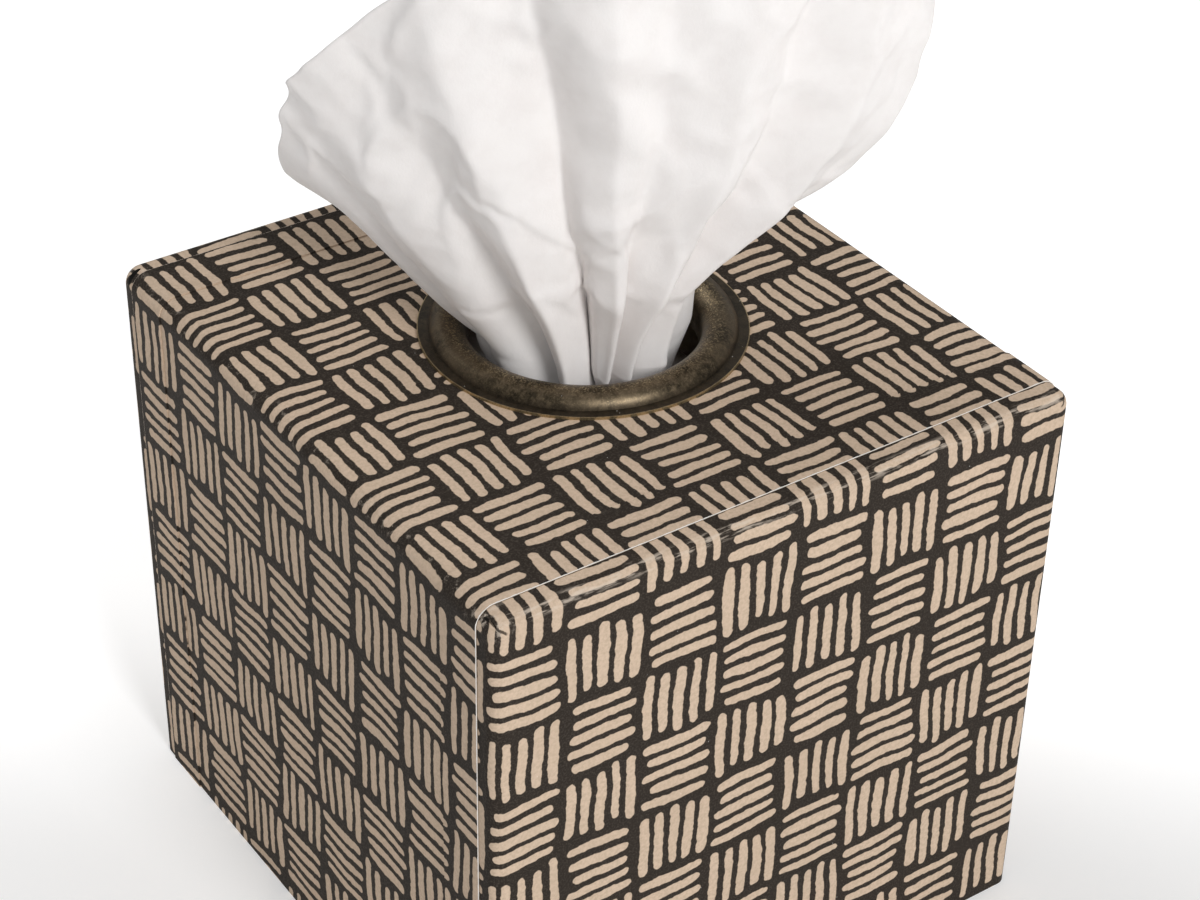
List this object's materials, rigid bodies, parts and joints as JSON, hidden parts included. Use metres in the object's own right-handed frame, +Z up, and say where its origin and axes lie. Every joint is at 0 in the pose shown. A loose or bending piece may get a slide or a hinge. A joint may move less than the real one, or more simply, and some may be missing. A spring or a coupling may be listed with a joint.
{
  "type": "tissue box",
  "caption": "Cube tissue box of board covered in block-printed kraft paper, open below, with a brass eyelet in the top and a gathered tissue standing in it.",
  "frame": {"origin": "middle of the box's underside, on the surface it stands on", "axes": "+Z up, -Y towards the front of the box, +X to the right of someone facing the front"},
  "size_m": [0.136, 0.1434, 0.2335],
  "materials": {
    "board": "matt",
    "printed_paper": "matt",
    "antique_brass": "satin, dark patina",
    "tissue": "matt"
  },
  "bodies": {
    "root": {"front_board": "board", "back_board": "board", "top_board": "board", "left_board": "board", "right_board": "board", "front_paper": "printed_paper", "back_paper": "printed_paper", "wrap_paper": "printed_paper", "eyelet_ring": "antique_brass", "eyelet_washer": "antique_brass", "tissue_pack": "tissue", "popup_tissue": "tissue"}
  },
  "joints": []
}
